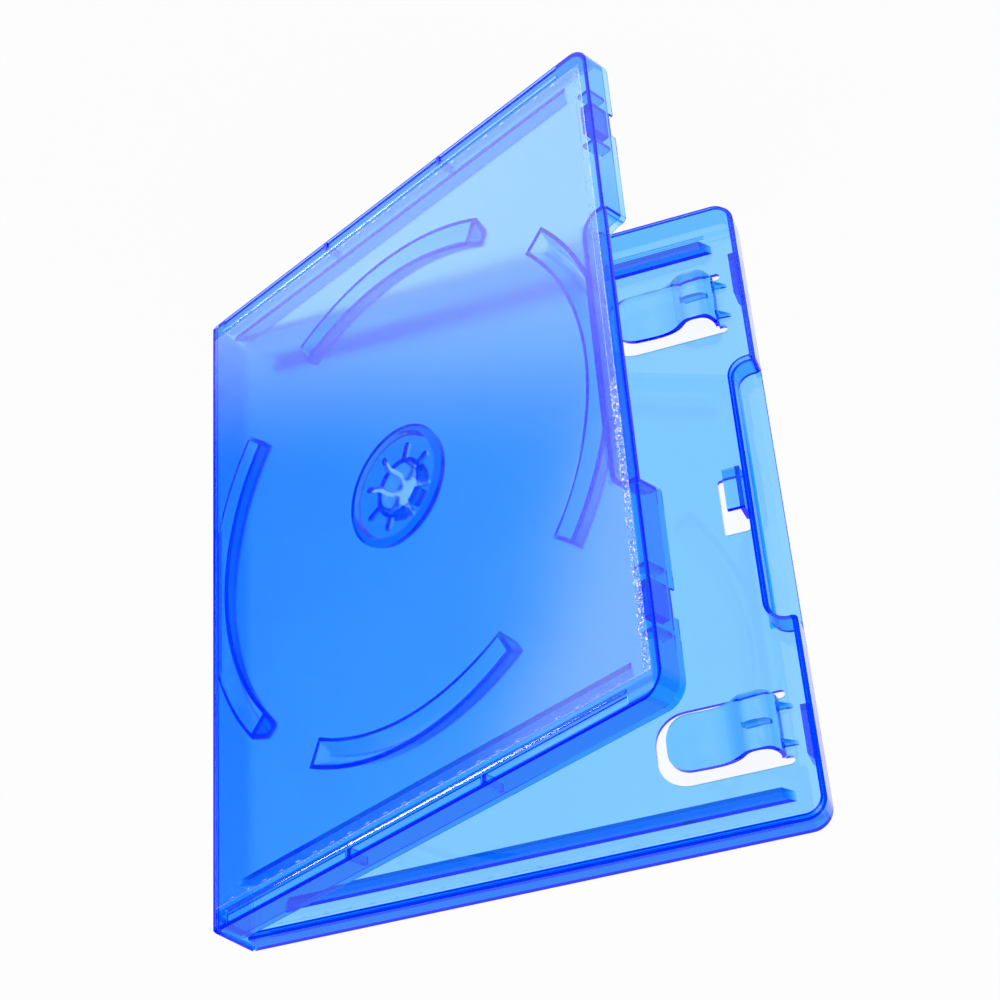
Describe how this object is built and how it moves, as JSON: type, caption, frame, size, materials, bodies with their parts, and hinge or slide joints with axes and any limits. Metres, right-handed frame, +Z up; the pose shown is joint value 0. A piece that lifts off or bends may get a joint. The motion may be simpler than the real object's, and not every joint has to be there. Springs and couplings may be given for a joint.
{
  "type": "game disc case",
  "caption": "Hinged keep case of see-through blue plastic, with a disc hub, booklet clips and a clear cover sleeve.",
  "frame": {"origin": "middle of the spine's lower end, on the surface that the case stands on, with both hinge lines at x = 0", "axes": "+Z up along the spine, +X from the spine to the fore edges, +Y from the front cover to the disc cover"},
  "size_m": [0.1338, 0.0751, 0.171],
  "materials": {
    "blue_plastic": "gloss",
    "clear_film": "gloss"
  },
  "bodies": {
    "spine": {"spine": "blue_plastic", "spine_film": "clear_film"},
    "disc_cover": {"disc_cover": "blue_plastic", "disc_film": "clear_film"},
    "front_cover": {"front_cover": "blue_plastic", "front_film": "clear_film"}
  },
  "joints": [
    {"name": "disc_hinge", "type": "hinge", "parent": "spine", "child": "disc_cover", "pos_m": [0, 0.0063, 0.0855], "axis": [0, 0, 1], "range_deg": [-11.6, 78.4]},
    {"name": "front_hinge", "type": "hinge", "parent": "spine", "child": "front_cover", "pos_m": [0, -0.0063, 0.0855], "axis": [0, 0, -1], "range_deg": [-14.8, 75.2]}
  ]
}
